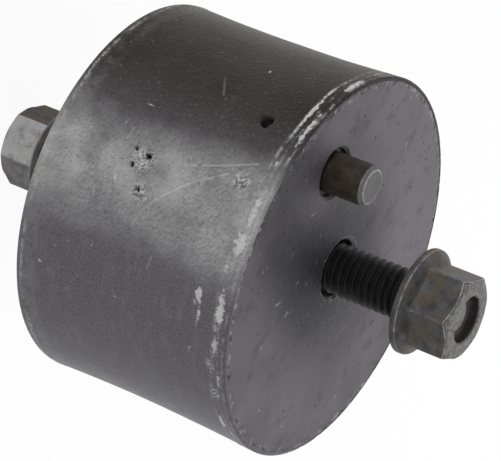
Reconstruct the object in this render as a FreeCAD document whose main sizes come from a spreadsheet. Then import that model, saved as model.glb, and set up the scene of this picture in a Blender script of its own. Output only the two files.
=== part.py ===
"""Round rubber engine mount: a bonded rubber drum between two steel plates.

Each plate carries a blind weld nut that holds an M10 flange bolt, and the front plate
also carries a shouldered locating pin. The drum's axis is +Z. The origin is the middle
of the rear bolt's head, on which the part stands, so the front face looks up and the
locating pin is on the -Y side.
"""

import FreeCAD, Part
import math
import os

import Sketcher
from FreeCAD import Placement, Rotation, Vector

# Driving dimensions, in millimetres and degrees.
SIZES = {
    # rubber drum
    "drum_diameter": 75.0,
    "rear_diameter": 74.5,
    "drum_height": 47.0,
    "waist_depth": 0.6,
    "rim_round": 0.4,
    "rim_skin": 0.8,
    # steel end plates
    "plate_thickness": 4.0,
    "bolt_hole_diameter": 11.6,
    "hole_chamfer": 0.5,
    # blind weld nuts inside the rubber
    "nut_collar_diameter": 24.0,
    "nut_collar_thickness": 2.5,
    "nut_barrel_diameter": 16.0,
    "nut_end_wall": 1.5,
    "nut_end_round": 2.0,
    "nut_tip_clearance": 1.5,
    "nut_lead_in": 0.6,
    # locating pin
    "pin_offset": 23.0,
    "pin_diameter": 7.8,
    "pin_projection": 8.0,
    "pin_tip_chamfer": 0.7,
    "pin_spigot_diameter": 6.0,
    "pin_relief_diameter": 10.6,
    "pin_relief_depth": 1.5,
    # M10 flange bolts
    "thread_diameter": 9.8,
    "thread_clearance": 0.05,
    "shank_length": 30.0,
    "shank_tip_chamfer": 1.0,
    "underhead_round": 0.5,
    "bolt_gap": 17.0,
    "flange_diameter": 20.5,
    "flange_rim": 1.3,
    "flange_height": 3.2,
    "flange_neck_diameter": 14.2,
    "flange_dome_radius": 4.0,
    "across_flats": 15.0,
    "head_height": 10.6,
    "head_end_diameter": 14.4,
    "head_chamfer_angle": 30.0,
    "recess_diameter": 9.1,
    "recess_depth": 1.8,
    "recess_draft": 0.25,
    "recess_floor_round": 0.6,
    "front_bolt_turn": 28.0,
    "rear_bolt_turn": 20.6,
}

CORNERS = 6
DRILL_TIP_ANGLE = 118.0
CUT_OVERREACH = 0.5

doc = FreeCAD.newDocument("EngineMount")
sheet = doc.addObject("Spreadsheet::Sheet", "Sizes")
for row, (alias, number) in enumerate(SIZES.items(), start=1):
    sheet.set(f"A{row}", alias)
    sheet.set(f"B{row}", str(number))
    sheet.setAlias(f"B{row}", alias)
doc.recompute()


class Size:
    """A length with the expression that gives it in the document."""

    def __init__(self, value, text=None):
        self.value = float(value)
        self.text = text if text else repr(float(value))

    def _join(self, other, sign, value):
        return Size(value, f"({self.text} {sign} {other.text})")

    def __add__(self, other):
        other = as_size(other)
        return self._join(other, "+", self.value + other.value)

    def __sub__(self, other):
        other = as_size(other)
        return self._join(other, "-", self.value - other.value)

    def __mul__(self, other):
        other = as_size(other)
        return self._join(other, "*", self.value * other.value)

    def __truediv__(self, other):
        other = as_size(other)
        return self._join(other, "/", self.value / other.value)

    def __neg__(self):
        return self * -1.0


def as_size(item):
    return item if isinstance(item, Size) else Size(item)


def size(alias):
    return Size(SIZES[alias], f"Sizes.{alias}")


class Arc:
    """An arc that ends an outline's point; bulge is "left" or "right" of the way travelled."""

    def __init__(self, radius, bulge):
        self.radius = radius
        self.bulge = bulge

    def walked_back(self):
        return Arc(self.radius, "right" if self.bulge == "left" else "left")


NOTHING = Size(0.0)

# Radii and levels that several pieces share.
front_radius = size("drum_diameter") / 2.0
rear_radius = size("rear_diameter") / 2.0
front_plate_radius = front_radius - size("rim_skin")
rear_plate_radius = rear_radius - size("rim_skin")
thread_radius = size("thread_diameter") / 2.0
nut_bore_radius = thread_radius + size("thread_clearance")
collar_radius = size("nut_collar_diameter") / 2.0
barrel_radius = size("nut_barrel_diameter") / 2.0
bolt_hole_radius = size("bolt_hole_diameter") / 2.0
pin_radius = size("pin_diameter") / 2.0
spigot_radius = size("pin_spigot_diameter") / 2.0
relief_radius = size("pin_relief_diameter") / 2.0
corner_radius = size("across_flats") / math.sqrt(3.0)

# A nut's bore is deeper than the bolt reaches in, and ends in the drill's cone.
bolt_engagement = size("shank_length") - size("bolt_gap") - size("plate_thickness")
nut_bore_depth = bolt_engagement + size("nut_tip_clearance")
drill_tip = nut_bore_radius / math.tan(math.radians(DRILL_TIP_ANGLE / 2.0))
nut_length = nut_bore_depth + drill_tip + size("nut_end_wall")

rear_face = size("bolt_gap") + size("head_height")
front_face = rear_face + size("drum_height")
rear_plate_inside = rear_face + size("plate_thickness")
front_plate_inside = front_face - size("plate_thickness")


def new_body(label, level=NOTHING, across=NOTHING, flipped=False):
    """A body whose own origin lies on the drum's axis, or `across` along Y, at height `level`."""
    body = doc.addObject("PartDesign::Body", label)
    body.Label = label
    if flipped:
        body.Placement = Placement(Vector(), Rotation(Vector(1, 0, 0), 180))
    body.setExpression(".Placement.Base.z", level.text)
    body.setExpression(".Placement.Base.y", across.text)
    return body


def origin_plane(body, role):
    return next(f for f in body.Origin.OriginFeatures if f.Role == role)


def new_sketch(body, name, role):
    sketch = body.newObject("Sketcher::SketchObject", name)
    sketch.AttachmentSupport = [(origin_plane(body, role), "")]
    sketch.MapMode = "FlatFace"
    return sketch


def arc_middle(start, end, arc):
    """The middle of the short arc from start to end that bulges to the chosen side."""
    chord = end - start
    left = Vector(-chord.y, chord.x, 0).normalize()
    side = left if arc.bulge == "left" else -left
    radius = arc.radius.value
    reach = math.sqrt(radius**2 - (chord.Length / 2.0) ** 2)
    return (start + end) * 0.5 + side * (radius - reach)


def fix(sketch, kind, geometry, point, distance):
    index = sketch.addConstraint(Sketcher.Constraint(kind, geometry, point, distance.value))
    sketch.setExpression(f"Constraints[{index}]", distance.text)


def closed_outline(sketch, points):
    """A closed outline through points (x, y) or (x, y, Arc), each held by the sheet's sizes."""
    spots = [Vector(p[0].value, p[1].value, 0) for p in points]
    ends = []
    for index, point in enumerate(points):
        start = spots[index - 1]
        end = spots[index]
        if len(point) == 3:
            middle = arc_middle(start, end, point[2])
            # a sketch keeps every arc anticlockwise, so a left bulge is drawn from its far end
            forward = point[2].bulge == "right"
            curve = Part.Arc(start, middle, end) if forward else Part.Arc(end, middle, start)
            geometry = sketch.addGeometry(curve, False)
            ends.append((geometry, 1, 2) if forward else (geometry, 2, 1))
            radius = Sketcher.Constraint("Radius", geometry, point[2].radius.value)
            held = sketch.addConstraint(radius)
            sketch.setExpression(f"Constraints[{held}]", point[2].radius.text)
        else:
            geometry = sketch.addGeometry(Part.LineSegment(start, end), False)
            ends.append((geometry, 1, 2))
    for index, (geometry, _, finish) in enumerate(ends):
        following, begin, _ = ends[(index + 1) % len(ends)]
        sketch.addConstraint(Sketcher.Constraint("Coincident", geometry, finish, following, begin))
        fix(sketch, "DistanceX", geometry, finish, points[index][0])
        fix(sketch, "DistanceY", geometry, finish, points[index][1])


def turned(body, name, points, cut=False):
    """Turns a profile of (radius, height) points about the body's own Z axis."""
    sketch = new_sketch(body, f"{name}_outline", "XZ_Plane")
    closed_outline(sketch, points)
    kind = "PartDesign::Groove" if cut else "PartDesign::Revolution"
    feature = body.newObject(kind, name)
    feature.Profile = sketch
    feature.ReferenceAxis = (sketch, ["V_Axis"])
    feature.Angle = 360.0
    return feature


def turned_cut_beside(body, name, points, across):
    """Cuts a turned profile whose axis stands at Y = `across`, from the axis outwards."""
    sketch = new_sketch(body, f"{name}_outline", "YZ_Plane")
    closed_outline(sketch, [(across + p[0], p[1]) for p in points])
    low = Vector(across.value, points[0][1].value, 0)
    high = Vector(across.value, points[-1][1].value, 0)
    axis = sketch.addGeometry(Part.LineSegment(low, high), True)
    for point, height in ((1, points[0][1]), (2, points[-1][1])):
        fix(sketch, "DistanceX", axis, point, across)
        fix(sketch, "DistanceY", axis, point, height)
    feature = body.newObject("PartDesign::Groove", name)
    feature.Profile = sketch
    feature.ReferenceAxis = (sketch, ["Axis0"])
    feature.Angle = 360.0
    return feature


def nut_pocket(inside, inward):
    """The rubber's outline round one weld nut, from the drum's axis to the plate."""
    collar_level = inside + size("nut_collar_thickness") * inward
    end_level = inside + nut_length * inward
    round_level = end_level - size("nut_end_round") * inward
    bulge = "left" if inward > 0 else "right"
    return [
        (NOTHING, end_level),
        (barrel_radius - size("nut_end_round"), end_level),
        (barrel_radius, round_level, Arc(size("nut_end_round"), bulge)),
        (barrel_radius, collar_level),
        (collar_radius, collar_level),
        (collar_radius, inside),
    ]


def walked_back(points):
    """The same points in the other order, each arc moved to its other end."""
    flipped = []
    arcs = ()
    for point in reversed(points):
        flipped.append(point[:2] + arcs)
        arcs = tuple(arc.walked_back() for arc in point[2:])
    return flipped


def make_rubber_body():
    """The moulded drum: a slight waist, rounded rims, and a skin round each plate's edge."""
    body = new_body("rubber_body")
    rim = size("rim_round")
    half_chord = (size("drum_height") - rim * 2.0) / 2.0
    waist_radius = (half_chord * half_chord + size("waist_depth") * size("waist_depth")) / (
        size("waist_depth") * 2.0
    )
    rear_half = nut_pocket(rear_plate_inside, 1.0) + [
        (rear_plate_radius, rear_plate_inside),
        (rear_plate_radius, rear_face),
        (rear_radius - rim, rear_face),
        (rear_radius, rear_face + rim, Arc(rim, "right")),
    ]
    front_half = [
        (front_radius, front_face - rim, Arc(waist_radius, "left")),
        (front_radius - rim, front_face, Arc(rim, "right")),
        (front_plate_radius, front_face),
        (front_plate_radius, front_plate_inside),
    ]
    front_half += walked_back(nut_pocket(front_plate_inside, -1.0))
    turned(body, "moulding", rear_half + front_half)
    return body


def make_plate(label, radius, level, flipped):
    """An end plate, its own origin at the middle of its outer face and the steel below it."""
    body = new_body(label, level, flipped=flipped)
    chamfer = size("hole_chamfer")
    disc = [
        (bolt_hole_radius, -size("plate_thickness")),
        (radius, -size("plate_thickness")),
        (radius, NOTHING),
        (bolt_hole_radius + chamfer, NOTHING),
        (bolt_hole_radius, -chamfer),
    ]
    turned(body, f"{label}_disc", disc)
    return body


def add_pin_seat(plate):
    """The stepped hole for the locating pin: a chamfered relief and the spigot's fit."""
    chamfer = size("hole_chamfer")
    floor = -size("pin_relief_depth")
    seat = [
        (NOTHING, -size("plate_thickness")),
        (spigot_radius, -size("plate_thickness")),
        (spigot_radius, floor),
        (relief_radius - chamfer, floor),
        (relief_radius - chamfer, -chamfer),
        (relief_radius, NOTHING),
        (NOTHING, NOTHING),
    ]
    turned_cut_beside(plate, "pin_seat", seat, -size("pin_offset"))


def make_weld_nut(label, level, flipped):
    """A blind round weld nut, its collar on the plate's inside and its end closed."""
    body = new_body(label, level, flipped=flipped)
    lead = size("nut_lead_in")
    end_round = size("nut_end_round")
    section = [
        (nut_bore_radius + lead, NOTHING),
        (nut_bore_radius, -lead),
        (nut_bore_radius, -nut_bore_depth),
        (NOTHING, -nut_bore_depth - drill_tip),
        (NOTHING, -nut_length),
        (barrel_radius - end_round, -nut_length),
        (barrel_radius, -nut_length + end_round, Arc(end_round, "right")),
        (barrel_radius, -size("nut_collar_thickness")),
        (collar_radius, -size("nut_collar_thickness")),
        (collar_radius, NOTHING),
    ]
    turned(body, f"{label}_blank", section)
    return body


def make_locating_pin():
    """A shouldered pin: the spigot is pressed in the plate, the shoulder sits in the relief."""
    body = new_body("locating_pin", front_face, -size("pin_offset"))
    tip = size("pin_projection")
    chamfer = size("pin_tip_chamfer")
    section = [
        (NOTHING, -size("plate_thickness")),
        (spigot_radius, -size("plate_thickness")),
        (spigot_radius, -size("pin_relief_depth")),
        (pin_radius, -size("pin_relief_depth")),
        (pin_radius, tip - chamfer),
        (pin_radius - chamfer, tip),
        (NOTHING, tip),
    ]
    turned(body, "pin_blank", section)
    return body


def add_hexagon(body, turn_alias):
    """The wrenching hexagon, from inside the flange up to the head's end."""
    sketch = new_sketch(body, "hexagon_outline", "XY_Plane")
    corners = []
    for corner in range(CORNERS):
        angle = 2.0 * math.pi * corner / CORNERS
        corners.append((corner_radius * math.cos(angle), corner_radius * math.sin(angle)))
    closed_outline(sketch, corners)
    start = size("flange_rim") / 2.0
    sketch.setExpression(".AttachmentOffset.Base.z", start.text)
    sketch.setExpression(".AttachmentOffset.Rotation.Angle", f"{size(turn_alias).text} * 1 deg")
    pad = body.newObject("PartDesign::Pad", "hexagon")
    pad.Profile = sketch
    pad.setExpression("Length", (size("head_height") - start).text)


def make_bolt(label, turn_alias, level, flipped):
    """A hexagon flange bolt, its own origin in the middle of the flange's bearing face."""
    body = new_body(label, level, flipped=flipped)
    add_hexagon(body, turn_alias)

    end = size("head_height")
    end_radius = size("head_end_diameter") / 2.0
    outside = corner_radius + CUT_OVERREACH
    slope = math.tan(math.radians(SIZES["head_chamfer_angle"]))
    chamfer = [
        (end_radius, end),
        (outside, end - (outside - end_radius) * slope),
        (outside, end),
    ]
    turned(body, "end_chamfer", chamfer, cut=True)

    tip = size("shank_tip_chamfer")
    fillet = size("underhead_round")
    flange_radius = size("flange_diameter") / 2.0
    neck_radius = size("flange_neck_diameter") / 2.0
    blank = [
        (NOTHING, -size("shank_length")),
        (thread_radius - tip, -size("shank_length")),
        (thread_radius, -size("shank_length") + tip),
        (thread_radius, -fillet),
        (thread_radius + fillet, NOTHING, Arc(fillet, "left")),
        (flange_radius, NOTHING),
        (flange_radius, size("flange_rim")),
        (neck_radius, size("flange_height"), Arc(size("flange_dome_radius"), "right")),
        (NOTHING, size("flange_height")),
    ]
    turned(body, "flange_and_shank", blank)

    wall = size("recess_diameter") / 2.0
    foot = wall - size("recess_draft")
    floor = end - size("recess_depth")
    floor_round = size("recess_floor_round")
    recess = [
        (NOTHING, floor),
        (foot - floor_round, floor),
        (foot, floor + floor_round, Arc(floor_round, "right")),
        (wall, end),
        (NOTHING, end),
    ]
    turned(body, "end_recess", recess, cut=True)
    return body


front_plate = make_plate("front_plate", front_plate_radius, front_face, flipped=False)
add_pin_seat(front_plate)

bodies = [
    make_rubber_body(),
    front_plate,
    make_plate("rear_plate", rear_plate_radius, rear_face, flipped=True),
    make_weld_nut("front_weld_nut", front_plate_inside, flipped=False),
    make_weld_nut("rear_weld_nut", rear_plate_inside, flipped=True),
    make_locating_pin(),
    make_bolt("front_bolt", "front_bolt_turn", front_face + size("bolt_gap"), flipped=False),
    make_bolt("rear_bolt", "rear_bolt_turn", size("head_height"), flipped=True),
]
doc.recompute()

for item in doc.Objects:
    if "Invalid" in item.State or "Error" in item.State:
        raise RuntimeError(f"{item.Label} did not compute: {item.State}")
for body in bodies:
    if body.Shape.isNull() or not body.Shape.isValid() or len(body.Shape.Solids) != 1:
        raise RuntimeError(f"{body.Label} is not one valid solid")

os.makedirs("parts", exist_ok=True)
for body in bodies:
    body.Shape.exportStep(f"parts/{body.Label}.step")
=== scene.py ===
"""Looks of the round rubber engine mount: worn rubber, coated plates and dark flange bolts."""

import math

import bpy
import numpy as np
from mathutils import Matrix, Vector, noise


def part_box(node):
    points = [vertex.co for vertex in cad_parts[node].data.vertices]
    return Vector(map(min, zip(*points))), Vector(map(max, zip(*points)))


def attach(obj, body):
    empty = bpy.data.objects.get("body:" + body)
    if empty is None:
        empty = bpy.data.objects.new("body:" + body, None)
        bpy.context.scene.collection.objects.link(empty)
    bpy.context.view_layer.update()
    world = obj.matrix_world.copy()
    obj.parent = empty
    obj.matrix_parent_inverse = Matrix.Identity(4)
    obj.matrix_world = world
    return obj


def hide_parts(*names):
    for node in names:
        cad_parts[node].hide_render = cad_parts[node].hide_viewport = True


MM = 0.001

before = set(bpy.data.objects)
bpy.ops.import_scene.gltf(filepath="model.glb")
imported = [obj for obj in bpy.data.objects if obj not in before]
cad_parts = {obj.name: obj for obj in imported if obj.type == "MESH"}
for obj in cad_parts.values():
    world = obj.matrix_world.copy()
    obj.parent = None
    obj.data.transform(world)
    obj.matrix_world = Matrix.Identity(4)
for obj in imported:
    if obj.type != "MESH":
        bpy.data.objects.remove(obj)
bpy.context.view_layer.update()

# Levels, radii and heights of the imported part, in metres.
rubber_low, rubber_high = (Vector(c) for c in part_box("rubber_body"))
FRONT_FACE = rubber_high.z
REAR_FACE = rubber_low.z
DRUM_RADIUS = rubber_high.x
PLATE_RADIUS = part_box("front_plate")[1][0]
REAR_PLATE_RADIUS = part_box("rear_plate")[1][0]
PLATE_THICKNESS = FRONT_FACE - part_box("front_plate")[0][2]
DRUM_HEIGHT = FRONT_FACE - REAR_FACE

# ---------------------------------------------------------------------------
# Meshes


def closed_skin(name, rings, start, end):
    """A mesh from rings of points, each joined to the next, with a point closing either end."""
    rings = np.asarray(rings)
    count, columns = rings.shape[:2]
    points = rings.reshape(-1, 3).tolist()
    index = np.arange(count * columns).reshape(count, columns)
    after = np.roll(index, -1, axis=1)
    quads = np.stack([index[:-1], after[:-1], after[1:], index[1:]], axis=-1).reshape(-1, 4)
    faces = quads.tolist()
    for tip, ring, following in ((start, after[0], index[0]), (end, index[-1], after[-1])):
        points.append(list(tip))
        faces += [[len(points) - 1, a, b] for a, b in zip(ring.tolist(), following.tolist())]
    mesh = bpy.data.meshes.new(name)
    mesh.from_pydata(points, [], faces)
    mesh.update()
    mesh.shade_smooth()
    piece = bpy.data.objects.new(name, mesh)
    bpy.context.collection.objects.link(piece)
    return piece


# Shares of the way round a soft corner.
EASING = (0.0, 0.25, 0.5, 0.75, 1.0)

# The radius in millimetres of the last ring before a flat end's middle point.
CENTRE_RING = 0.9


def corner(radius, height, soft=0.0, steps=1, wear=0.0):
    """A profile's corner: how soft it is, the steps up to it, and how bare it is worn.

    The softness is the distance from the corner at which its rounding begins and ends.
    """
    return radius, height, soft, steps, wear


def rows_with_soft_corners(corners):
    """Rows of (radius, height, wear) through the corners, each eased by its own softness."""
    columns = max(np.size(radius) for radius, *_ in corners)
    spots = [
        np.stack([np.broadcast_to(radius, columns), np.broadcast_to(height, columns)])
        for radius, height, *_ in corners
    ]
    rows = []
    last = None
    for number, (_, _, softness, steps, wear) in enumerate(corners):
        here = spots[number]
        if softness and 0 < number < len(corners) - 1:
            before, behind = spots[number - 1], spots[number + 1]
            enter = here + softness * unit(before - here)
            leave = here + softness * unit(behind - here)
            arc = [(1 - s) ** 2 * enter + 2 * s * (1 - s) * here + s**2 * leave for s in EASING]
        else:
            arc = [here]
        if last is not None:
            for step in range(1, steps):
                rows.append((*(last + (arc[0] - last) * step / steps), 0.0))
        for share, spot in zip(EASING, arc):
            rows.append((*spot, 4.0 * wear * share * (1.0 - share)))
        last = arc[-1]
    return rows


def unit(step):
    """Steps of radius and height, each made 1 long."""
    return step / np.maximum(np.hypot(step[0], step[1]), 1e-9)


def rings_from_rows(rows, angles):
    """A ring of points round the axis for each row's radius and height."""
    rings = []
    for radius, height, *_ in rows:
        radius = np.broadcast_to(radius, angles.shape)
        height = np.broadcast_to(height, angles.shape)
        rings.append(np.stack([radius * np.cos(angles), radius * np.sin(angles), height], axis=-1))
    return rings


def paint(piece, name, rows, columns):
    """Gives each vertex a value for the materials, one row of values for each ring.

    The point that closes either end takes a value of the ring beside it.
    """
    values = np.stack([np.broadcast_to(row, columns) for row in rows]).reshape(-1)
    layer = piece.data.attributes.new(name, "FLOAT", "POINT")
    ends = [values[0], values[-1]]
    layer.data.foreach_set("value", np.append(values, ends).astype(np.float32))


# ---------------------------------------------------------------------------
# Flange bolts, in millimetres from the flange's bearing face, head up


SHANK_RADIUS = 4.9
SHANK_TIP_CHAMFER = 1.0

# Under the head: where the plain shank starts, how wide the fillet is and where it ends, and
# how many rows of it are painted dark, partly as shade.
UNDERHEAD_START = 0.5
UNDERHEAD_FILLET = (0.35, 0.1)
UNDERHEAD_ROWS = 4

THREAD_PITCH = 1.5
THREAD_DEPTH = 0.92
THREAD_RUNOUT = 0.6
THREAD_ROWS = 12

# Shares of half a pitch, from the middle of the crest.
THREAD_CREST = 0.14
THREAD_FLANK = 0.72

FLANGE_RIM = 1.3
FLANGE_HEIGHT = 3.2
FLANGE_NECK = 7.1

# Widths and heights of the flange's lower edge and of the fillet at the recess's foot.
FLANGE_EDGE = (0.6, 0.15)
RECESS_FILLET = (0.3, 0.25)

# How much of the flange's top is a cone, and how much is rounded.
DOME_CONE = 0.72
DOME_ROUND = 0.28

HEAD_HEIGHT = 10.6
HEAD_END_RADIUS = 7.2
HEAD_CHAMFER = math.radians(30.0)
HEX_FLATS = 15.0
HEX_CORNER_ROUND = 0.45
HEX_CORNER_RISE = 0.99
HEX_SIDES = 6
COLUMNS_PER_SIDE = 22

# How far each bolt's hexagon is turned, in degrees.
FRONT_HEX_TURN = 28.0
REAR_HEX_TURN = 20.6

RECESS_RADIUS = 4.55
RECESS_DEPTH = 1.8
RECESS_MIDDLE = 0.6

# Tolerances that tell whether a ring lies on a surface, and whether it is clear of one.
SAME_PLACE = 0.01
SAME_LEVEL = 0.02
CLEAR = 0.2

# How bare the bolt is worn, from 0 to 1, and how dark its recess's wall is painted, as shade.
CREST_WEAR = 0.35
CORNER_WEAR = 0.6
CHAMFER_WEAR = 0.7
FLOOR_WEAR = 0.9
WALL_SHADE = 0.8


def hexagon_radius(angles, turn):
    """The polar radius of a hexagon with rounded corners, one corner at `turn`."""
    half = HEX_FLATS / 2.0
    side = math.pi / HEX_SIDES
    from_flat = np.abs((angles - turn) % (2 * side) - side)
    fillet_start = math.atan((half - HEX_CORNER_ROUND) * math.tan(side) / half)
    centre = (half - HEX_CORNER_ROUND) / math.cos(side)
    to_corner = np.clip(side - from_flat, 0.0, side)
    inside = np.maximum(HEX_CORNER_ROUND**2 - (centre * np.sin(to_corner)) ** 2, 0.0)
    fillet = centre * np.cos(to_corner) + np.sqrt(inside)
    return np.where(from_flat < fillet_start, half / np.cos(from_flat), fillet)


def thread_rows(angles, length):
    """Rows up the shank: a right-hand thread, chamfered at its tip, that fades out by the head."""
    rows = []
    for height in np.arange(-length, -THREAD_RUNOUT, THREAD_PITCH / THREAD_ROWS):
        phase = (height / THREAD_PITCH - angles / (2 * math.pi)) % 1.0
        from_crest = np.abs(phase - 0.5) * 2.0
        flank = np.clip((from_crest - THREAD_CREST) / THREAD_FLANK, 0.0, 1.0)
        fade = min(1.0, (-THREAD_RUNOUT - height) / THREAD_PITCH)
        radius = SHANK_RADIUS - THREAD_DEPTH * flank * fade
        chamfer = SHANK_RADIUS - SHANK_TIP_CHAMFER + (height + length)
        rows.append((np.minimum(radius, chamfer), height, CREST_WEAR * (1.0 - flank) * fade))
    return rows


def dome_height(radius, flange_radius):
    """How high the flange's rounded top stands at a radius."""
    along = np.clip((flange_radius - radius) / (flange_radius - FLANGE_NECK), 0.0, 1.0)
    rise = FLANGE_HEIGHT - FLANGE_RIM
    return FLANGE_RIM + rise * (DOME_CONE * along + DOME_ROUND * np.sin(along * math.pi / 2))


def head_rows(hexagon, shoulder, floor, flange_radius):
    """Rows from under the flange over the head's end and down into its recess."""
    fillet_width, fillet_end = UNDERHEAD_FILLET
    edge_width, edge_height = FLANGE_EDGE
    foot_width, foot_height = RECESS_FILLET
    dome = (flange_radius + hexagon) / 2.0
    return rows_with_soft_corners(
        [
            corner(SHANK_RADIUS, -UNDERHEAD_START),
            corner(SHANK_RADIUS + fillet_width, -fillet_end, soft=0.1, steps=2),
            corner(flange_radius - edge_width, 0.0, soft=0.3, steps=3),
            corner(flange_radius, edge_height, soft=0.25, steps=2, wear=0.7),
            corner(flange_radius, FLANGE_RIM, soft=0.35, steps=3, wear=0.8),
            corner(dome, dome_height(dome, flange_radius), soft=0.5, steps=4),
            corner(hexagon, dome_height(hexagon, flange_radius), soft=0.22, steps=4),
            corner(hexagon, shoulder, soft=0.3, steps=6, wear=1.0),
            corner(HEAD_END_RADIUS, HEAD_HEIGHT, soft=0.5, steps=4, wear=0.7),
            corner(RECESS_RADIUS, HEAD_HEIGHT, soft=0.3, steps=4, wear=0.7),
            corner(RECESS_RADIUS - foot_width, floor + foot_height, soft=0.5, steps=4),
            corner(RECESS_RADIUS * RECESS_MIDDLE, floor, soft=0.3, steps=3),
            corner(CENTRE_RING, floor, steps=5),
        ]
    )


def bolt_wear(rows, hexagon, shoulder, floor):
    """How bare each ring is: its own edge, the recess's floor, the chamfer and the corners."""
    on_corner = (hexagon > HEX_FLATS / 2.0 + HEX_CORNER_RISE).astype(float)
    wear = []
    for radius, height, edge in rows:
        if np.max(np.abs(height - floor)) < SAME_LEVEL:
            edge = FLOOR_WEAR
        if np.min(radius) > RECESS_RADIUS + CLEAR and np.min(height) > np.min(shoulder) + CLEAR:
            edge = max(edge, CHAMFER_WEAR)
        if np.max(np.abs(radius - hexagon)) < SAME_PLACE:
            edge = np.maximum(edge, CORNER_WEAR * on_corner)
        wear.append(edge)
    return wear


def wall_shade(radius, height, floor):
    """How dark a ring of the head is painted, as shade: only the recess's wall is."""
    in_recess = np.max(radius) < RECESS_RADIUS + SAME_PLACE
    on_wall = floor + CLEAR < np.max(height) < HEAD_HEIGHT - CLEAR
    return WALL_SHADE if in_recess and on_wall else 0.0


def make_bolt(name, node, turn_degrees, head_up):
    """A flange bolt with its screw thread, in place of the plain one of the same size."""
    low, high = (Vector(c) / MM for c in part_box(node))
    shank_length = high.z - low.z - HEAD_HEIGHT
    turn = math.radians(turn_degrees)

    # columns crowd towards the hexagon's corners, where its roundings are
    side = math.pi / HEX_SIDES
    spread = np.sin(np.linspace(-math.pi / 2, math.pi / 2, COLUMNS_PER_SIDE, endpoint=False))
    angles = np.concatenate([turn + side * (2 * k + 1 + spread) for k in range(HEX_SIDES)])

    hexagon = hexagon_radius(angles, turn)
    shoulder = HEAD_HEIGHT - (hexagon - HEAD_END_RADIUS) * math.tan(HEAD_CHAMFER)
    floor = HEAD_HEIGHT - RECESS_DEPTH
    shank = thread_rows(angles, shank_length)
    rows = shank + head_rows(hexagon, shoulder, floor, high.x)
    rings = rings_from_rows(rows, angles)
    piece = closed_skin(name, rings, (0.0, 0.0, -shank_length), (0.0, 0.0, floor))
    if head_up:
        place = Matrix.Translation((0, 0, high.z - HEAD_HEIGHT))
    else:
        place = Matrix.Translation((0, 0, low.z + HEAD_HEIGHT)) @ Matrix.Rotation(math.pi, 4, "X")
    piece.data.transform(Matrix.Scale(MM, 4) @ place)

    # the shank is dark up to the fillet under the flange, partly as painted shade
    dark = [1.0] * (len(shank) + UNDERHEAD_ROWS)
    dark += [wall_shade(radius, height, floor) for radius, height, _ in rows[len(dark):]]
    paint(piece, "wear", bolt_wear(rows, hexagon, shoulder, floor), angles.size)
    paint(piece, "dark", dark, angles.size)
    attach(piece, "root")
    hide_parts(node)
    return piece


# ---------------------------------------------------------------------------
# Locating pin, in millimetres, at the part's own heights


PIN_COLUMNS = 96
PIN_SPIGOT_RADIUS = 3.0
PIN_SEAT_DEPTH = 1.5

# Measured down from the tip: where the pin starts to narrow and by how much, the width and
# height of its chamfer, and how much of it is bare; below that its side is painted dark as shade.
PIN_DRAFT_START = 2.2
PIN_DRAFT = 0.05
PIN_TIP_CHAMFER = (0.68, 0.75)
PIN_TIP_BARE = 0.8


def make_pin():
    """The locating pin with a worn, rounded tip."""
    low, high = (Vector(c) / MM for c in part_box("locating_pin"))
    radius = (high.x - low.x) / 2.0
    centre_y = (high.y + low.y) / 2.0
    face = FRONT_FACE / MM
    angles = np.linspace(0, 2 * math.pi, PIN_COLUMNS, endpoint=False)
    seat = face - PIN_SEAT_DEPTH
    tip_width, tip_height = PIN_TIP_CHAMFER
    rows = rows_with_soft_corners(
        [
            corner(PIN_SPIGOT_RADIUS, low.z),
            corner(PIN_SPIGOT_RADIUS, seat, steps=2),
            corner(radius, seat, soft=0.1, steps=2),
            corner(radius, high.z - PIN_DRAFT_START, steps=6),
            # the chamfer is worn bare, which also serves as a painted highlight on it
            corner(radius - PIN_DRAFT, high.z - tip_height, soft=0.3, steps=3, wear=0.7),
            corner(radius - tip_width, high.z, soft=0.45, wear=1.0),
            corner(CENTRE_RING, high.z, steps=5),
        ]
    )
    rings = rings_from_rows(rows, angles)
    piece = closed_skin("locating_pin_worn", rings, (0, 0, low.z), (0, 0, high.z))
    piece.data.transform(Matrix.Scale(MM, 4) @ Matrix.Translation((0, centre_y, 0)))
    # the side below the bare tip is painted dark as shade
    dark = [float(height.max() < high.z - PIN_TIP_BARE) for _, height, _ in rows]
    paint(piece, "wear", [wear for _, _, wear in rows], PIN_COLUMNS)
    paint(piece, "dark", dark, PIN_COLUMNS)
    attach(piece, "root")
    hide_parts("locating_pin")
    return piece


# ---------------------------------------------------------------------------
# Rubber drum, in degrees round the axis and millimetres behind the front face


DRUM_COLUMNS = 640
SIDE_ROWS = 138
ROW_CROWDING = 0.09
WAIST = 0.6
RIM_ROUND = 0.4

# The thickness of the rubber's skin round the plates' edges.
RIM_SKIN = 0.8

# The radius of the innermost ring behind each plate.
PLATE_RING = 0.5

# The surface's lumps, from broad to fine, and how far each of them lies from the next in noise.
LUMP_SIZES = (9.0, 0.9, 0.45)
SEED_STEPS = (17.3, 5.1, 9.7)

# How far lumps and marks lift or sink the rubber, where nicks start and how far in they reach.
BROAD_LIFT = 0.05
FINE_LIFT = 0.012
FLASH_LIFT = 0.16
SCUFF_LIFT = 0.06
SCUFF_TEAR = 0.13
PIT_DEPTH = 1.5
NICK_DEPTH = 0.35
NICK_START = 0.25
NICK_REACH = 0.5

# How ragged and how steep the edges of scrapes and pits are, and where a mark has faded out.
FADE_END = 1.6
SCRAPE_RAGGED = 0.55
SCRAPE_SLOPE = 1.3
PIT_RAGGED = 0.25
PIT_SLOPE = 1.5

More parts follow.
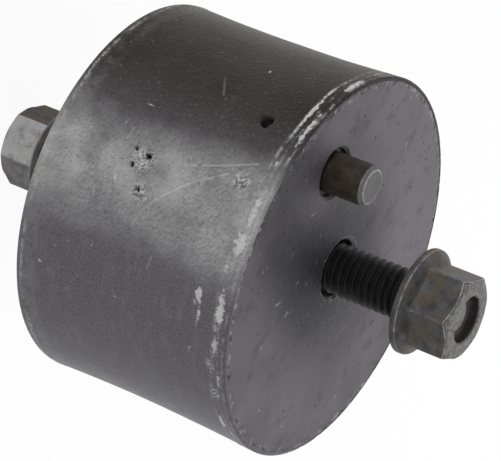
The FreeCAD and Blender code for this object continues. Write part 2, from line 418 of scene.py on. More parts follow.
# Bare white scrapes: middle angle, distance behind the face, half widths and strength.
SCRAPES = [
    (-23.0, 2.3, 6.0, 0.9, 1.0),
    (-25.5, 7.3, 2.6, 0.9, 0.9),
    (-20.0, 6.7, 3.6, 0.5, 0.75),
    (-104.0, 1.3, 5.5, 0.6, 1.0),
    (-96.0, 3.2, 5.0, 0.35, 0.8),
    (-86.0, 3.0, 8.5, 0.45, 0.95),
    (-80.0, 1.1, 7.5, 0.55, 0.9),
    (-118.0, 1.9, 7.0, 0.4, 0.5),
    (-53.0, 1.8, 6.0, 0.9, 0.75),
    (-43.0, 2.0, 4.0, 1.3, 1.0),
    (-36.0, 3.0, 2.0, 1.2, 0.5),
    (-67.0, 2.4, 1.2, 0.5, 0.5),
    (-13.0, 2.4, 3.0, 1.0, 0.75),
    (-6.5, 3.4, 2.5, 1.5, 0.55),
    (-2.0, 1.4, 3.0, 0.7, 0.55),
    (4.0, 2.6, 3.0, 1.6, 0.5),
    (17.5, 2.7, 3.5, 0.5, 0.9),
    (24.0, 1.6, 4.0, 0.5, 0.5),
    (-97.0, 16.5, 0.9, 0.35, 1.0),
    (-54.0, 27.4, 1.6, 0.7, 0.75),
    (-52.5, 25.6, 0.8, 0.4, 0.5),
    (-56.5, 24.6, 0.6, 0.4, 0.4),
    (-70.5, 31.0, 0.4, 0.8, 0.7),
    (-2.0, 11.4, 0.6, 0.5, 0.6),
    (-37.0, 14.0, 1.6, 0.4, 0.5),
    (-16.0, 41.8, 0.7, 0.5, 0.8),
    (-14.5, 25.0, 1.0, 0.35, 0.75),
    (-8.5, 8.0, 1.2, 0.35, 0.7),
    (-27.0, 31.0, 1.4, 0.3, 0.6),
    (-47.0, 30.5, 1.6, 0.35, 0.65),
    (-63.0, 33.5, 1.8, 0.35, 0.5),
    (10.0, 45.3, 11.0, 0.7, 0.45),
    (-12.0, 45.8, 6.0, 0.5, 0.4),
    (-78.0, 46.0, 7.0, 0.4, 0.45),
    (-48.0, 45.6, 14.0, 0.8, 0.25),
]

# Scratches: start angle and distance, end angle and distance, strength.
SCRATCHES = [
    (-65.0, 5.5, -61.0, 12.0, 0.35),
    (-61.0, 12.0, -57.5, 18.5, 0.45),
    (-59.5, 10.0, -53.0, 16.3, 0.4),
    (-53.0, 16.3, -47.5, 20.0, 0.5),
    (-47.5, 20.0, -44.0, 22.0, 0.3),
    (-39.5, 23.6, -36.0, 24.2, 0.3),
    (-43.0, 34.0, -40.5, 33.6, 0.3),
    (-62.0, 31.5, -58.5, 31.8, 0.25),
    (-30.0, 18.5, -26.5, 18.9, 0.25),
    (-88.0, 22.3, -82.0, 20.0, 0.15),
]

# Crinkled skin, painted as lit and shaded folds: middle angle, distance behind the face and reach.
CRINKLES = [(-54.5, 27.0, 3.4), (-45.8, 25.0, 2.6), (-59.1, 7.1, 2.4)]

# Ridges of flash: distance behind the face, half width and strength.
FLASH_RIDGES = [(0.6, 0.25, 0.9), (1.8, 0.25, 0.8), (3.1, 0.3, 1.0)]

# The same for the rear ridge, from the rear face, and where round the drum the flash is heavy.
REAR_RIDGE = (1.2, 0.35, 0.6)
FLASH_MIDDLE = -88.0
FLASH_SPREAD = 18.0
FLASH_LEAST = 0.45

# How far the front and rear ridges waver, and how whole the flash is where it is torn least.
RIDGE_WAVER = 0.3
REAR_WAVER = 0.2
FLASH_WHOLE = 0.6
FLASH_TEAR = 0.9

# Small holes: middle angle, distance behind the face, and half widths.
PITS = [
    (-78.5, 9.2, 2.2, 1.3),
    (-56.2, 26.2, 0.8, 0.5),
    (-52.3, 28.6, 0.7, 0.45),
    (-57.0, 29.0, 0.5, 0.4),
    (-46.3, 25.4, 0.5, 0.35),
]


def lumps(points, scale, seed):
    """Smooth noise between about -1 and 1 at each point, one lump about `scale` mm across."""
    shift = Vector([seed * step for step in SEED_STEPS])
    values = [noise.noise(Vector(p) / scale + shift) for p in points]
    return np.array(values)


def wrapped(angle):
    """An angle in degrees, brought to between -180 and 180."""
    return (angle + 180.0) % 360.0 - 180.0


def fading(distance, slope):
    """1 while slope times distance is under FADE_END - 1, falling to 0 at FADE_END."""
    return np.clip(FADE_END - slope * distance, 0.0, 1.0)


def drum_radius(behind):
    """The drum's radius at a distance behind the front face: a slight waist and taper."""
    share = np.clip(behind / (DRUM_HEIGHT / MM), 0.0, 1.0)
    rear_radius = REAR_PLATE_RADIUS / MM + RIM_SKIN
    straight = DRUM_RADIUS / MM + (rear_radius - DRUM_RADIUS / MM) * share
    return straight - WAIST * (1.0 - (2.0 * share - 1.0) ** 2)


def scrape_strength(angle, behind, ragged):
    """How torn and bare the rubber is at each point, from 0 to 1."""
    total = np.zeros_like(angle)
    for middle, depth, half_angle, half_depth, strength in SCRAPES:
        across = wrapped(angle - middle) / half_angle
        along = (behind - depth) / half_depth
        distance = np.sqrt(across**2 + along**2) + SCRAPE_RAGGED * ragged
        total = np.maximum(total, strength * fading(distance, SCRAPE_SLOPE))
    return total


def pit_strength(angle, behind, ragged):
    """How deep in a small hole each point is, from 0 to 1."""
    total = np.zeros_like(angle)
    for middle, depth, half_angle, half_depth in PITS:
        distance = np.hypot(wrapped(angle - middle) / half_angle, (behind - depth) / half_depth)
        total = np.maximum(total, fading(distance + PIT_RAGGED * ragged, PIT_SLOPE))
    return total


def flash_strength(angle, behind, broad, ragged):
    """Torn ridges of moulding flash behind both rims, heaviest above the locating pin."""
    from_middle = np.abs(wrapped(angle - FLASH_MIDDLE)) / FLASH_SPREAD
    heavy = FLASH_LEAST + (1.0 - FLASH_LEAST) * fading(from_middle, 1.0)
    total = np.zeros_like(angle)
    for level, half_width, strength in FLASH_RIDGES:
        ridge = (behind - level - RIDGE_WAVER * broad) / half_width
        total += strength * np.exp(-(ridge**2)) * heavy
    level, half_width, strength = REAR_RIDGE
    rear = (DRUM_HEIGHT / MM - behind - level - REAR_WAVER * broad) / half_width
    total += strength * np.exp(-(rear**2))
    return total * np.clip(FLASH_WHOLE + FLASH_TEAR * ragged, 0.0, 1.0)


def make_rubber():
    """The moulded drum with its torn rims, scrapes and pits, fitted round both plates."""
    height = DRUM_HEIGHT / MM
    face = FRONT_FACE / MM
    angles = np.linspace(-math.pi, math.pi, DRUM_COLUMNS, endpoint=False)

    # rows are closer together at both rims, where the rubber is torn
    share = np.linspace(0.0, 1.0, SIDE_ROWS)
    share = share - ROW_CROWDING * np.sin(2 * math.pi * share)
    behind, angle = np.meshgrid(share * height, np.degrees(angles), indexing="ij")
    radius = drum_radius(behind)
    into_rim = RIM_ROUND - np.minimum(np.minimum(behind, height - behind), RIM_ROUND)
    radius -= RIM_ROUND - np.sqrt(RIM_ROUND**2 - into_rim**2)
    turn = np.radians(angle)
    points = np.stack([radius * np.cos(turn), radius * np.sin(turn), face - behind], axis=-1)

    broad, ragged, fine = (
        lumps(points.reshape(-1, 3), size, seed).reshape(radius.shape)
        for seed, size in enumerate(LUMP_SIZES, start=1)
    )
    scuff = scrape_strength(angle, behind, ragged)
    flash = flash_strength(angle, behind, broad, ragged)
    hole = pit_strength(angle, behind, ragged)
    nicked = np.clip(-ragged - NICK_START, 0.0, 1.0) * np.exp(-behind / NICK_REACH)
    lift = BROAD_LIFT * broad + FINE_LIFT * fine + FLASH_LIFT * flash
    lift += scuff * (SCUFF_LIFT + SCUFF_TEAR * ragged)
    lift -= PIT_DEPTH * hole
    lift -= NICK_DEPTH * nicked
    lift = np.minimum(lift, DRUM_RADIUS / MM - radius)
    points[..., 0] += lift * np.cos(turn)
    points[..., 1] += lift * np.sin(turn)

    # the rest of the closed skin: round the plates' edges and across behind them
    front_inside = face - PLATE_THICKNESS / MM
    rear_inside = face - height + PLATE_THICKNESS / MM
    front_plate = PLATE_RADIUS / MM
    rear_plate = REAR_PLATE_RADIUS / MM
    front = [(PLATE_RING, front_inside), (front_plate, front_inside), (front_plate, face)]
    rear = [(rear_plate, face - height), (rear_plate, rear_inside), (PLATE_RING, rear_inside)]
    rings = [np.array(rings_from_rows(rows, angles)) for rows in (front, rear)]
    rings = np.concatenate([rings[0], points, rings[1]])[::-1]
    piece = closed_skin("rubber_moulding", rings, (0, 0, rear_inside), (0, 0, front_inside))
    piece.data.transform(Matrix.Scale(MM, 4))

    unmarked = [np.zeros(DRUM_COLUMNS)] * len(front)
    for name, values in (("scuff", scuff), ("hole", hole), ("flash", flash)):
        paint(piece, name, (unmarked + list(values) + unmarked)[::-1], DRUM_COLUMNS)
    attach(piece, "root")
    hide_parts("rubber_body")
    return piece


# ---------------------------------------------------------------------------
# Materials


# A ragged edge's noise, as its size, detail and roughness, and how far it wavers.
WAVER_NOISE = (9.0, 6.0, 0.62)
WAVER_REACH = 4.0

# The share of a soft line's half width that is covered fully.
LINE_CORE = 0.2


class Shader:
    """A node material built with one call for each node."""

    def __init__(self, name):
        self.material = bpy.data.materials.new(name)
        self.material.use_nodes = True
        self.tree = self.material.node_tree
        self.surface = self.tree.nodes["Principled BSDF"]
        coordinates = self.add("ShaderNodeTexCoord")
        scale = self.add("ShaderNodeVectorMath", operation="SCALE")
        scale.inputs["Scale"].default_value = 1.0 / MM
        self.link(coordinates.outputs["Object"], scale.inputs[0])
        self.place = scale.outputs[0]

    def add(self, kind, **settings):
        """A new node with its settings."""
        node = self.tree.nodes.new(kind)
        for key, value in settings.items():
            setattr(node, key, value)
        return node

    def link(self, source, target):
        self.tree.links.new(source, target)

    def feed(self, target, value):
        """Gives an input either another node's output or a fixed value."""
        if isinstance(value, bpy.types.NodeSocket):
            self.link(value, target)
        else:
            target.default_value = value

    def noise(self, size, detail, roughness=0.5, stretch=None):
        """Noise whose lumps are about `size` millimetres across."""
        node = self.add("ShaderNodeTexNoise")
        node.inputs["Scale"].default_value = 1.0 / size
        node.inputs["Detail"].default_value = detail
        node.inputs["Roughness"].default_value = roughness
        place = self.place
        if stretch:
            mapping = self.add("ShaderNodeMapping")
            mapping.inputs["Scale"].default_value = stretch
            self.link(self.place, mapping.inputs["Vector"])
            place = mapping.outputs[0]
        self.link(place, node.inputs["Vector"])
        return node.outputs["Fac"]

    def painted_relief(self, size, detail, roughness, step):
        """Noise painted with light and shade, as if it stood up and were lit from the side away
        from `step`.
        """
        shifted = self.add("ShaderNodeVectorMath", operation="ADD")
        self.link(self.place, shifted.inputs[0])
        shifted.inputs[1].default_value = step
        here = self.noise(size, detail, roughness)
        beside = self.noise(size, detail, roughness)
        self.link(shifted.outputs[0], beside.node.inputs["Vector"])
        return self.math("SUBTRACT", beside, here)

    def ramp(self, value, low, high, smooth=True):
        """The value moved from the range low..high to 0..1."""
        node = self.add("ShaderNodeMapRange")
        node.interpolation_type = "SMOOTHSTEP" if smooth else "LINEAR"
        node.inputs["From Min"].default_value = low
        node.inputs["From Max"].default_value = high
        self.link(value, node.inputs["Value"])
        return node.outputs["Result"]

    def math(self, operation, first, second):
        """An operation on two values, each either fixed or another node's output."""
        node = self.add("ShaderNodeMath", operation=operation)
        self.feed(node.inputs[0], first)
        self.feed(node.inputs[1], second)
        return node.outputs[0]

    def times(self, first, second):
        return self.math("MULTIPLY", first, second)

    def mix(self, share, first, second):
        """The first colour where the share is 0, and the second where it is 1."""
        node = self.add("ShaderNodeMix", data_type="RGBA")
        self.feed(node.inputs["Factor"], share)
        self.feed(node.inputs["A"], first)
        self.feed(node.inputs["B"], second)
        return node.outputs["Result"]

    def over(self, colour, layer, cover, strength):
        """The colour with a layer on it, as far as its cover and strength let it show."""
        return self.mix(self.times(cover, strength), colour, layer)

    def towards(self, azimuth, ragged):
        """How far a point on the drum faces an azimuth, from -1 to 1, with a ragged edge."""
        facing = self.add("ShaderNodeVectorMath", operation="DOT_PRODUCT")
        self.link(self.place, facing.inputs[0])
        facing.inputs[1].default_value = direction(azimuth, 0.0) * (MM / DRUM_RADIUS)
        waver = self.math("SUBTRACT", self.noise(*WAVER_NOISE), 0.5)
        waver = self.times(waver, WAVER_REACH * ragged)
        return self.math("ADD", facing.outputs["Value"], waver)

    def facing(self, azimuth):
        """How far the surface faces an azimuth, from -1 to 1."""
        normal = self.add("ShaderNodeNewGeometry").outputs["Normal"]
        facing = self.add("ShaderNodeVectorMath", operation="DOT_PRODUCT")
        self.link(normal, facing.inputs[0])
        facing.inputs[1].default_value = direction(azimuth, 0.0)
        return facing.outputs["Value"]

    def behind_face(self):
        """The distance behind the front face, in millimetres."""
        split = self.add("ShaderNodeSeparateXYZ")
        self.link(self.place, split.inputs[0])
        return self.math("SUBTRACT", FRONT_FACE / MM, split.outputs["Z"])

    def from_axis(self):
        """The distance from the drum's axis, in millimetres."""
        flat = self.add("ShaderNodeVectorMath", operation="MULTIPLY")
        self.link(self.place, flat.inputs[0])
        flat.inputs[1].default_value = (1.0, 1.0, 0.0)
        length = self.add("ShaderNodeVectorMath", operation="LENGTH")
        self.link(flat.outputs[0], length.inputs[0])
        return length.outputs["Value"]

    def line(self, start, end, half_width):
        """A soft line between two points in millimetres, 1 in its middle and 0 beside it."""
        run = end - start
        away = self.add("ShaderNodeVectorMath", operation="SUBTRACT")
        self.link(self.place, away.inputs[0])
        away.inputs[1].default_value = start
        along = self.add("ShaderNodeVectorMath", operation="DOT_PRODUCT")
        self.link(away.outputs[0], along.inputs[0])
        along.inputs[1].default_value = run / run.length_squared
        share = self.add("ShaderNodeClamp")
        self.link(along.outputs["Value"], share.inputs["Value"])
        nearest = self.add("ShaderNodeVectorMath", operation="SCALE")
        nearest.inputs[0].default_value = run
        self.link(share.outputs[0], nearest.inputs["Scale"])
        gap = self.add("ShaderNodeVectorMath", operation="DISTANCE")
        self.link(away.outputs[0], gap.inputs[0])
        self.link(nearest.outputs[0], gap.inputs[1])
        return self.ramp(gap.outputs["Value"], half_width, half_width * LINE_CORE)

    def attribute(self, name):
        """What paint() gave the mesh's points under this name."""
        return self.add("ShaderNodeAttribute", attribute_name=name).outputs["Fac"]

    def height(self, value, distance, below=None):
        """Bump of a height given in millimetres."""
        node = self.add("ShaderNodeBump")
        node.inputs["Distance"].default_value = distance * MM
        self.link(value, node.inputs["Height"])
        if below is not None:
            self.link(below, node.inputs["Normal"])
        return node.outputs["Normal"]

    def finish(self, colour, roughness, normal, specular, metallic=0.0):
        """Joins what varies to the surface and sets what is the same all over it."""
        self.feed(self.surface.inputs["Base Color"], colour)
        self.feed(self.surface.inputs["Roughness"], roughness)
        self.link(normal, self.surface.inputs["Normal"])
        self.surface.inputs["Metallic"].default_value = metallic
        self.surface.inputs["Specular IOR Level"].default_value = specular
        return self.material


def direction(azimuth, elevation):
    """The unit vector at an azimuth from +X towards +Y and an elevation, both in degrees."""
    a, e = math.radians(azimuth), math.radians(elevation)
    return Vector((math.cos(e) * math.cos(a), math.cos(e) * math.sin(a), math.sin(e)))


def grey(value, warm=0.0, purple=0.0):
    """A grey of linear brightness `value`, tinted a little."""
    return (value * (1 + warm + purple), value, value * (1 - warm + 2 * purple), 1.0)


def on_drum(azimuth, behind):
    """A point on the drum's side, in millimetres."""
    radius = float(drum_radius(behind))
    level = FRONT_FACE / MM - behind
    return direction(azimuth, 0.0) * radius + Vector((0.0, 0.0, level))


def on_face(x, y):
    """A point on the front face, in millimetres."""
    return Vector((x, y, FRONT_FACE / MM))


# Azimuths: of the drum's side of haze and painted light, of the streak of dust and painted sheen
# along it, and of the rear head's dust and painted reflection.
HAZE_AND_LIGHT_SIDE = 10.0
DUST_AND_SHEEN_STREAK = -48.5
DUST_AND_REFLECTION_FACET = -38.0

# Steps for the painted light and shade of crumbs, in millimetres. Crumbs are painted pale on the
# side away from them, as if lit from there.
CRUMB_STEP = (0.0, -0.16, -0.12)
FINE_STEP = (0.0, -0.10, -0.07)

# Distances behind the front face over which the rear rim's dust and the rear head's dust and
# painted reflection fade in.
REAR_RIM_DUST = (41.5, 43.5)
REAR_HEAD_DUST_AND_REFLECTION = (64.9, 65.7)

# Distances from the axis over which the face's grime and painted shade round the bolt, the hole's
# lip and the rim's chips fade in.
GRIME_AND_SHADE_REACH = (29.0, 6.0)
HOLE_LIP = (6.7, 6.2)
CHIPPED_RIM = (35.2, 36.4)

# Broad painted shadows of the bolt and the pin, and a broad painted pool of light, on the face:
# start, end, reach, strength and brightness.
PAINTED_SHADOWS_AND_LIGHT = [
    ((8.0, 1.0), (17.0, -17.0), 13.0, 0.68, 0.025),
    ((10.0, -31.0), (21.0, -29.0), 10.0, 0.65, 0.025),
    ((-28.0, -24.0), (-28.0, 10.0), 22.0, 0.45, 0.200),
]

# Half the width of a scratch, in millimetres.
SCRATCH_WIDTH = 0.3

# Rubber: pairs are the two shades that a noise mixes.
CLEAN_RUBBER = grey(0.009, warm=0.22), grey(0.015, warm=0.22)
# Haze on one side of the drum, paler partly as painted light on that side.
HAZE_AND_LIGHT_RUBBER = grey(0.058, purple=0.055), grey(0.132, purple=0.055)
# Dust with a painted sheen, in the streak along the drum's side.
DUST_AND_SHEEN_RUBBER = grey(0.19), grey(0.37)
# Painted shade and painted light of the crinkled skin's folds.
FOLD_LIGHT_AND_SHADE = grey(0.03), grey(0.48)
BRUSHED_HAZE = grey(0.135, purple=0.02)
# Paler clouds of dust and painted sheen in the streak.
DUST_AND_SHEEN_CLOUD = grey(0.48)
POWDER = grey(0.18)
PORE = grey(0.018)
RIM_DUST = grey(0.19)
SPECK = grey(0.26)
TORN_FLASH = grey(0.42)
BARE_SCRAPE = grey(0.45)
SCRATCH = grey(0.46)
# Painted shade inside the small holes.
PIT_SHADE = grey(0.003)

# Coated plates.
COAT = grey(0.102, purple=0.07), grey(0.128, purple=0.06)
# Grime and painted shade round the bolt.
GRIME_AND_SHADE_NEAR_AXIS = grey(0.040, purple=0.04)
COAT_GRAIN = grey(0.15)
COAT_SMUDGE = grey(0.045)
COAT_SPECK = grey(0.34)
BARE_LIP = grey(0.30)
BARE_CHIP = grey(0.28)
POCK = grey(0.02)

# Oxide-coated steel.
BROWN = grey(0.070, warm=0.24)
BLUED = grey(0.060, purple=0.10)
# Dust and a painted reflection on the rear head's facets that face one way.
STEEL_DUST_AND_REFLECTION = grey(0.46)
BARE_STEEL = grey(0.36)


def rubber_finish():
    """Dark rubber: a side of haze and painted light, a streak of dust and painted sheen, torn rims,
    scrapes, scratches, crinkles painted lit and shaded, and pits painted dark as shade.
    """
    s = Shader("worn_rubber")
    patches = s.ramp(s.noise(14.0, 2.0), 0.35, 0.7)
    grain = s.noise(0.55, 4.0, 0.7)
    blotches = s.noise(2.2, 4.0, 0.65)
    # crumbs painted with light and shade, pale on one side and dark on the other
    crumb_shading = s.ramp(s.painted_relief(0.75, 4.0, 0.65, CRUMB_STEP), -0.16, 0.16, smooth=False)
    fine_crumb_shading = s.ramp(s.painted_relief(0.42, 3.0, 0.7, FINE_STEP), -0.20, 0.20, smooth=False)

    # haze and painted light on one side of the drum, and dust and a painted sheen in a streak along
    # it
    haze_and_light_colour = s.mix(fine_crumb_shading, *HAZE_AND_LIGHT_RUBBER)
    brushed = s.ramp(s.noise(1.6, 5.0, 0.65, stretch=(0.25, 0.25, 1.0)), 0.50, 0.68)
    haze_and_light_colour = s.over(haze_and_light_colour, BRUSHED_HAZE, brushed, 0.5)
    dust_and_sheen = s.mix(crumb_shading, *DUST_AND_SHEEN_RUBBER)
    clouds = s.ramp(s.noise(11.0, 4.0, 0.5), 0.50, 0.66)
    dust_and_sheen = s.over(dust_and_sheen, DUST_AND_SHEEN_CLOUD, clouds, 0.45)
    # one side of the drum is paler: haze, and painted light on that side
    haze_and_light = s.ramp(s.towards(HAZE_AND_LIGHT_SIDE, 0.025), -0.14, 0.60)
    # the streak is a painted sheen along the drum, with dust in it
    streak = s.ramp(s.towards(DUST_AND_SHEEN_STREAK, 0.014), 0.915, 1.0)
    streak = s.times(streak, s.ramp(s.noise(7.0, 4.0, 0.5), 0.05, 0.62))
    colour = s.mix(haze_and_light, s.mix(patches, *CLEAN_RUBBER), haze_and_light_colour)
    colour = s.mix(streak, colour, dust_and_sheen)

    # powder and pores in the grain, dust along the rear rim, and specks
    powder = s.times(s.ramp(grain, 0.52, 0.72), s.ramp(blotches, 0.35, 0.65))
    colour = s.over(colour, POWDER, powder, 0.35)
    pores = s.ramp(grain, 0.46, 0.30)
    colour = s.over(colour, PORE, pores, 0.5)
    rear_rim = s.times(s.ramp(s.behind_face(), *REAR_RIM_DUST), s.ramp(blotches, 0.35, 0.6))
    rear_share = s.math("ADD", s.times(haze_and_light, 0.25), 0.13)
    colour = s.over(colour, RIM_DUST, rear_rim, rear_share)
    specks = s.times(s.ramp(s.noise(0.8, 3.0), 0.685, 0.74), s.ramp(s.noise(11.0, 2.0), 0.42, 0.58))
    colour = s.over(colour, SPECK, specks, 0.7)

    # torn flash and bare scrapes
    torn = s.times(s.attribute("flash"), s.ramp(s.noise(2.4, 4.0), 0.40, 0.56))
    colour = s.over(colour, TORN_FLASH, torn, s.ramp(grain, 0.35, 0.5))
    scuff = s.attribute("scuff")
    frayed = s.times(s.math("SUBTRACT", s.noise(0.45, 4.0, 0.7), 0.5), 2.4)
    bare = s.ramp(s.math("ADD", scuff, frayed), 0.35, 0.85)
    colour = s.over(colour, BARE_SCRAPE, bare, s.ramp(scuff, 0.03, 0.3))

    # crinkled skin painted with lit and shaded folds, scratches, and pits painted dark inside as
    # shade
    fold_shading = s.ramp(s.painted_relief(1.3, 4.0, 0.6, CRUMB_STEP), -0.055, 0.055)
    fold_shading = s.mix(fold_shading, *FOLD_LIGHT_AND_SHADE)
    for azimuth, behind, reach in CRINKLES:
        spot = on_drum(azimuth, behind)
        near = s.line(spot, spot + Vector((0.0, 0.0, 0.5)), reach)
        colour = s.over(colour, fold_shading, near, 0.7)
    broken = s.ramp(s.noise(1.4, 4.0), 0.30, 0.52)
    for azimuth, behind, end_azimuth, end_behind, strength in SCRATCHES:
        start, end = on_drum(azimuth, behind), on_drum(end_azimuth, end_behind)
        line = s.times(s.line(start, end, SCRATCH_WIDTH), broken)
        colour = s.over(colour, SCRATCH, line, strength)
    # the small holes are painted dark inside, as shade
    colour = s.mix(s.ramp(s.attribute("hole"), 0.05, 0.55), colour, PIT_SHADE)

    roughness = s.math("ADD", s.times(grain, 0.3), 0.22)
    normal = s.height(grain, 0.22, s.height(blotches, 0.14))
    return s.finish(colour, roughness, normal, specular=0.14)


def plate_finish():
    """A thin grey coat with grime and painted shade round the bolt, painted shadows of the bolt and
    pin, a painted pool of light, smudges, and chips along the rim and the hole.
    """
    s = Shader("coated_plate")
    patches = s.ramp(s.noise(11.0, 3.0), 0.35, 0.7)
    fine = s.noise(0.7, 4.0, 0.65)
    from_axis = s.from_axis()
    colour = s.mix(patches, *COAT)
    # darker towards the axis: grime and painted shade round the bolt
    colour = s.over(colour, GRIME_AND_SHADE_NEAR_AXIS, s.ramp(from_axis, *GRIME_AND_SHADE_REACH), 0.8)
    # painted shadows of the bolt and the pin, and a painted pool of light
    for start, end, reach, strength, value in PAINTED_SHADOWS_AND_LIGHT:
        painted_patch = s.line(on_face(*start), on_face(*end), reach)
        colour = s.over(colour, grey(value, purple=0.05), painted_patch, strength)
    colour = s.over(colour, COAT_GRAIN, s.ramp(fine, 0.4, 0.75), 0.35)
    smudges = s.ramp(s.noise(5.0, 4.0, 0.6), 0.52, 0.70)
    colour = s.over(colour, COAT_SMUDGE, smudges, 0.4)
    specks = s.times(s.ramp(s.noise(1.5, 2.0), 0.69, 0.75), s.ramp(s.noise(13.0, 2.0), 0.44, 0.56))
    colour = s.over(colour, COAT_SPECK, specks, 0.7)

    # bare metal on the hole's lip and in chips along the rim, and small dark pocks
    lip = s.times(s.ramp(from_axis, *HOLE_LIP), s.ramp(s.noise(1.1, 3.0), 0.4, 0.55))
    colour = s.over(colour, BARE_LIP, lip, 0.6)
    near_rim = s.ramp(from_axis, *CHIPPED_RIM)
    chips = s.noise(1.3, 3.0, 0.6)
    colour = s.over(colour, BARE_CHIP, near_rim, s.ramp(chips, 0.56, 0.62))
    pocks = s.ramp(s.noise(1.9, 2.0, stretch=(1.0, 1.0, 3.0)), 0.30, 0.25)
    chipped = s.times(near_rim, s.ramp(chips, 0.42, 0.36))
    colour = s.mix(s.math("MAXIMUM", pocks, chipped), colour, POCK)

    roughness = s.math("ADD", s.times(fine, 0.2), 0.48)
    normal = s.height(fine, 0.08, s.height(s.noise(4.0, 3.0), 0.12))
    return s.finish(colour, roughness, normal, specular=0.12)


def steel_finish(name, dark, light, tint, deep, dust_and_reflection=0.0):
    """Oxide-coated steel: blotchy, tinted here and there, bare on its edges, with dust and a
    painted reflection on a side.

    `deep` is the colour of the parts painted dark, partly as painted shade, and
    `dust_and_reflection` the strength of the dust and painted reflection.
    """
    s = Shader(name)
    patches = s.ramp(s.noise(2.6, 4.0, 0.6), 0.35, 0.68)
    colour = s.mix(patches, dark, light)
    browned = s.ramp(s.noise(3.4, 3.0), 0.42, 0.62)
    colour = s.over(colour, tint, browned, 0.8)
    blued = s.ramp(s.noise(4.6, 3.0), 0.52, 0.66)
    colour = s.over(colour, BLUED, blued, 0.5)
    if dust_and_reflection:
        # dust and a painted reflection on the facets that face one azimuth
        side = s.ramp(s.facing(DUST_AND_REFLECTION_FACET), 0.45, 0.95)
        side = s.times(side, s.ramp(s.noise(2.6, 4.0, 0.55), 0.12, 0.60))
        side = s.times(side, s.ramp(s.behind_face(), *REAR_HEAD_DUST_AND_REFLECTION))
        colour = s.over(colour, STEEL_DUST_AND_REFLECTION, side, dust_and_reflection)
    # the parts painted dark: painted shade on the recess walls and the pin's side, and darker,
    # partly shaded shanks
    shade = s.mix(patches, deep, [2.0 * part for part in deep[:3]] + [1.0])
    colour = s.mix(s.attribute("dark"), colour, shade)

    fine = s.noise(0.35, 4.0, 0.65)
    wear = s.attribute("wear")
    scraped = s.math("ADD", wear, s.math("SUBTRACT", s.noise(0.7, 3.0), 0.5))
    worn = s.times(s.ramp(scraped, 0.45, 1.0), wear)
    colour = s.over(colour, BARE_STEEL, worn, 0.8)
    roughness = s.math("ADD", s.times(fine, 0.25), 0.60 if dust_and_reflection else 0.36)
    normal = s.height(fine, 0.03, s.height(s.noise(1.6, 3.0), 0.08))
    return s.finish(colour, roughness, normal, metallic=0.3, specular=0.15)


def use(piece, material):
    """Gives a piece of the scene its only material."""
    piece.data.materials.clear()
    piece.data.materials.append(material)


def use_on_node(node, material):
    """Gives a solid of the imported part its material."""
    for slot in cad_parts[node].material_slots:
        slot.material = material


front_bolt = make_bolt("front_bolt_threaded", "front_bolt", FRONT_HEX_TURN, head_up=True)
rear_bolt = make_bolt("rear_bolt_threaded", "rear_bolt", REAR_HEX_TURN, head_up=False)
pin = make_pin()
rubber = make_rubber()

plate_material = plate_finish()
nut_material = steel_finish("nut_steel", grey(0.05), grey(0.08), BROWN, grey(0.05))
bolt_material = steel_finish("phosphate_steel", grey(0.040), grey(0.09), BROWN, grey(0.008))
dust_and_reflection_material = steel_finish(
    "dusty_steel_painted_reflection", grey(0.05), grey(0.09), BROWN, grey(0.010), dust_and_reflection=0.8
)
pin_material = steel_finish(
    "pin_steel", grey(0.10), grey(0.13), grey(0.12), grey(0.021, warm=0.22)
)
use(front_bolt, bolt_material)
use(rear_bolt, dust_and_reflection_material)
use(pin, pin_material)
use(rubber, rubber_finish())
for node in ("front_plate", "rear_plate"):
    use_on_node(node, plate_material)
for node in ("front_weld_nut", "rear_weld_nut"):
    use_on_node(node, nut_material)

# ---------------------------------------------------------------------------
# Floor, light and camera


FLOOR_SIZE = 12.0
FLOOR_COLOUR = (0.8, 0.8, 0.8, 1.0)
FLOOR_ROUGHNESS = 0.9

# The floor's glow near the part, and the distances over which it grows to the room's own white.
FLOOR_GLOW = 0.93
GLOW_FADE = (0.2, 1.5)

ROOM_WHITE = 1.0
ROOM_LIGHT = 0.22

# Soft boxes: azimuth, elevation, distance, width and height in metres, and watts.
SOFT_BOXES = {
    "far_box": (140.0, 40.0, 0.75, (0.80, 0.80), 6.0),
    "side_box": (35.0, 12.0, 0.60, (0.80, 0.60), 2.2),
    "front_box": (-85.0, 3.0, 0.90, (0.80, 0.50), 8.6),
}

SENSOR_WIDTH = 36.0
LENS = 179.04

# The camera's place, in millimetres from the middle of the front face, and its own axes.
CAMERA_PLACE = Vector((289.862, -306.846, 194.576))
CAMERA_RIGHT = Vector((-0.55894, 0.05044, 0.82767))
CAMERA_UP = Vector((-0.55853, -0.76065, -0.33083))


def shows_background(tree):
    """1 for rays that look at the background, 0 for those that gather light from it."""
    path = tree.nodes.new("ShaderNodeLightPath")
    total = path.outputs["Is Camera Ray"]
    for kind in ("Is Glossy Ray", "Is Transmission Ray"):
        either = tree.nodes.new("ShaderNodeMath")
        either.operation = "MAXIMUM"
        tree.links.new(total, either.inputs[0])
        tree.links.new(path.outputs[kind], either.inputs[1])
        total = either.outputs[0]
    return total


def glow_share(tree):
    """How much of the floor is glow for rays that look at it, rising towards the horizon."""
    place = tree.nodes.new("ShaderNodeTexCoord")
    distance = tree.nodes.new("ShaderNodeVectorMath")
    distance.operation = "LENGTH"
    tree.links.new(place.outputs["Object"], distance.inputs[0])
    fade = tree.nodes.new("ShaderNodeMapRange")
    fade.inputs["From Min"].default_value, fade.inputs["From Max"].default_value = GLOW_FADE
    fade.inputs["To Min"].default_value = FLOOR_GLOW
    fade.inputs["To Max"].default_value = ROOM_WHITE
    tree.links.new(distance.outputs["Value"], fade.inputs["Value"])
    share = tree.nodes.new("ShaderNodeMath")
    share.operation = "MULTIPLY"
    tree.links.new(shows_background(tree), share.inputs[0])
    tree.links.new(fade.outputs["Result"], share.inputs[1])
    return share.outputs[0]


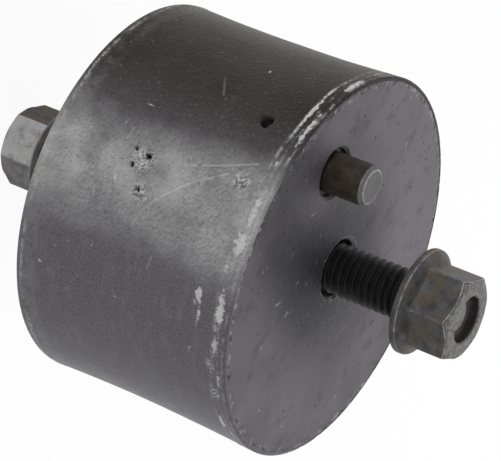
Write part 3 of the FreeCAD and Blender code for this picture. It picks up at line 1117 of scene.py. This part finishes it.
def make_floor():
    """A pale floor that keeps the part's shadow and meets the room's white at the horizon."""
    bpy.ops.mesh.primitive_plane_add(size=FLOOR_SIZE, location=(0, 0, 0))
    floor = bpy.context.object
    floor.name = "floor"
    material = bpy.data.materials.new("pale_floor")
    material.use_nodes = True
    tree = material.node_tree
    matt = tree.nodes["Principled BSDF"]
    matt.inputs["Base Color"].default_value = FLOOR_COLOUR
    matt.inputs["Roughness"].default_value = FLOOR_ROUGHNESS
    glow = tree.nodes.new("ShaderNodeEmission")
    glow.inputs["Strength"].default_value = ROOM_WHITE
    mix = tree.nodes.new("ShaderNodeMixShader")
    tree.links.new(glow_share(tree), mix.inputs["Fac"])
    tree.links.new(matt.outputs[0], mix.inputs[1])
    tree.links.new(glow.outputs[0], mix.inputs[2])
    tree.links.new(mix.outputs[0], tree.nodes["Material Output"].inputs["Surface"])
    floor.data.materials.append(material)


def make_soft_box(name, azimuth, elevation, distance, size, watts):
    """An area lamp that faces the drum's middle and is seen only by its light."""
    data = bpy.data.lights.new(name, "AREA")
    data.shape = "RECTANGLE"
    data.size, data.size_y = size
    data.energy = watts
    lamp = bpy.data.objects.new(name, data)
    centre = Vector((0, 0, (FRONT_FACE + REAR_FACE) / 2))
    lamp.location = centre + direction(azimuth, elevation) * distance
    lamp.rotation_euler = (lamp.location - centre).to_track_quat("Z", "Y").to_euler()
    lamp.visible_camera = False
    lamp.visible_glossy = False
    bpy.context.collection.objects.link(lamp)


def make_world():
    """A white room that lights the part from all round at a plain level."""
    world = bpy.data.worlds.new("pale_room")
    bpy.context.scene.world = world
    world.use_nodes = True
    tree = world.node_tree
    background = tree.nodes["Background"]
    background.inputs["Color"].default_value = (1.0, 1.0, 1.0, 1.0)
    strength = tree.nodes.new("ShaderNodeMapRange")
    strength.inputs["To Min"].default_value = ROOM_LIGHT
    strength.inputs["To Max"].default_value = ROOM_WHITE
    tree.links.new(shows_background(tree), strength.inputs["Value"])
    tree.links.new(strength.outputs[0], background.inputs["Strength"])


def make_camera():
    """A long lens, rolled so that the drum's axis lies almost level with the pin above it."""
    data = bpy.data.cameras.new("camera")
    data.sensor_width = SENSOR_WIDTH
    data.lens = LENS
    camera = bpy.data.objects.new("camera", data)
    bpy.context.collection.objects.link(camera)
    back = CAMERA_RIGHT.cross(CAMERA_UP)
    turn = Matrix((CAMERA_RIGHT, CAMERA_UP, back)).transposed().to_4x4()
    place = CAMERA_PLACE * MM + Vector((0, 0, FRONT_FACE))
    camera.matrix_world = Matrix.Translation(place) @ turn
    bpy.context.scene.camera = camera


make_floor()
make_world()
for name, settings in SOFT_BOXES.items():
    make_soft_box(name, *settings)
make_camera()
bpy.context.scene.view_settings.view_transform = "Standard"
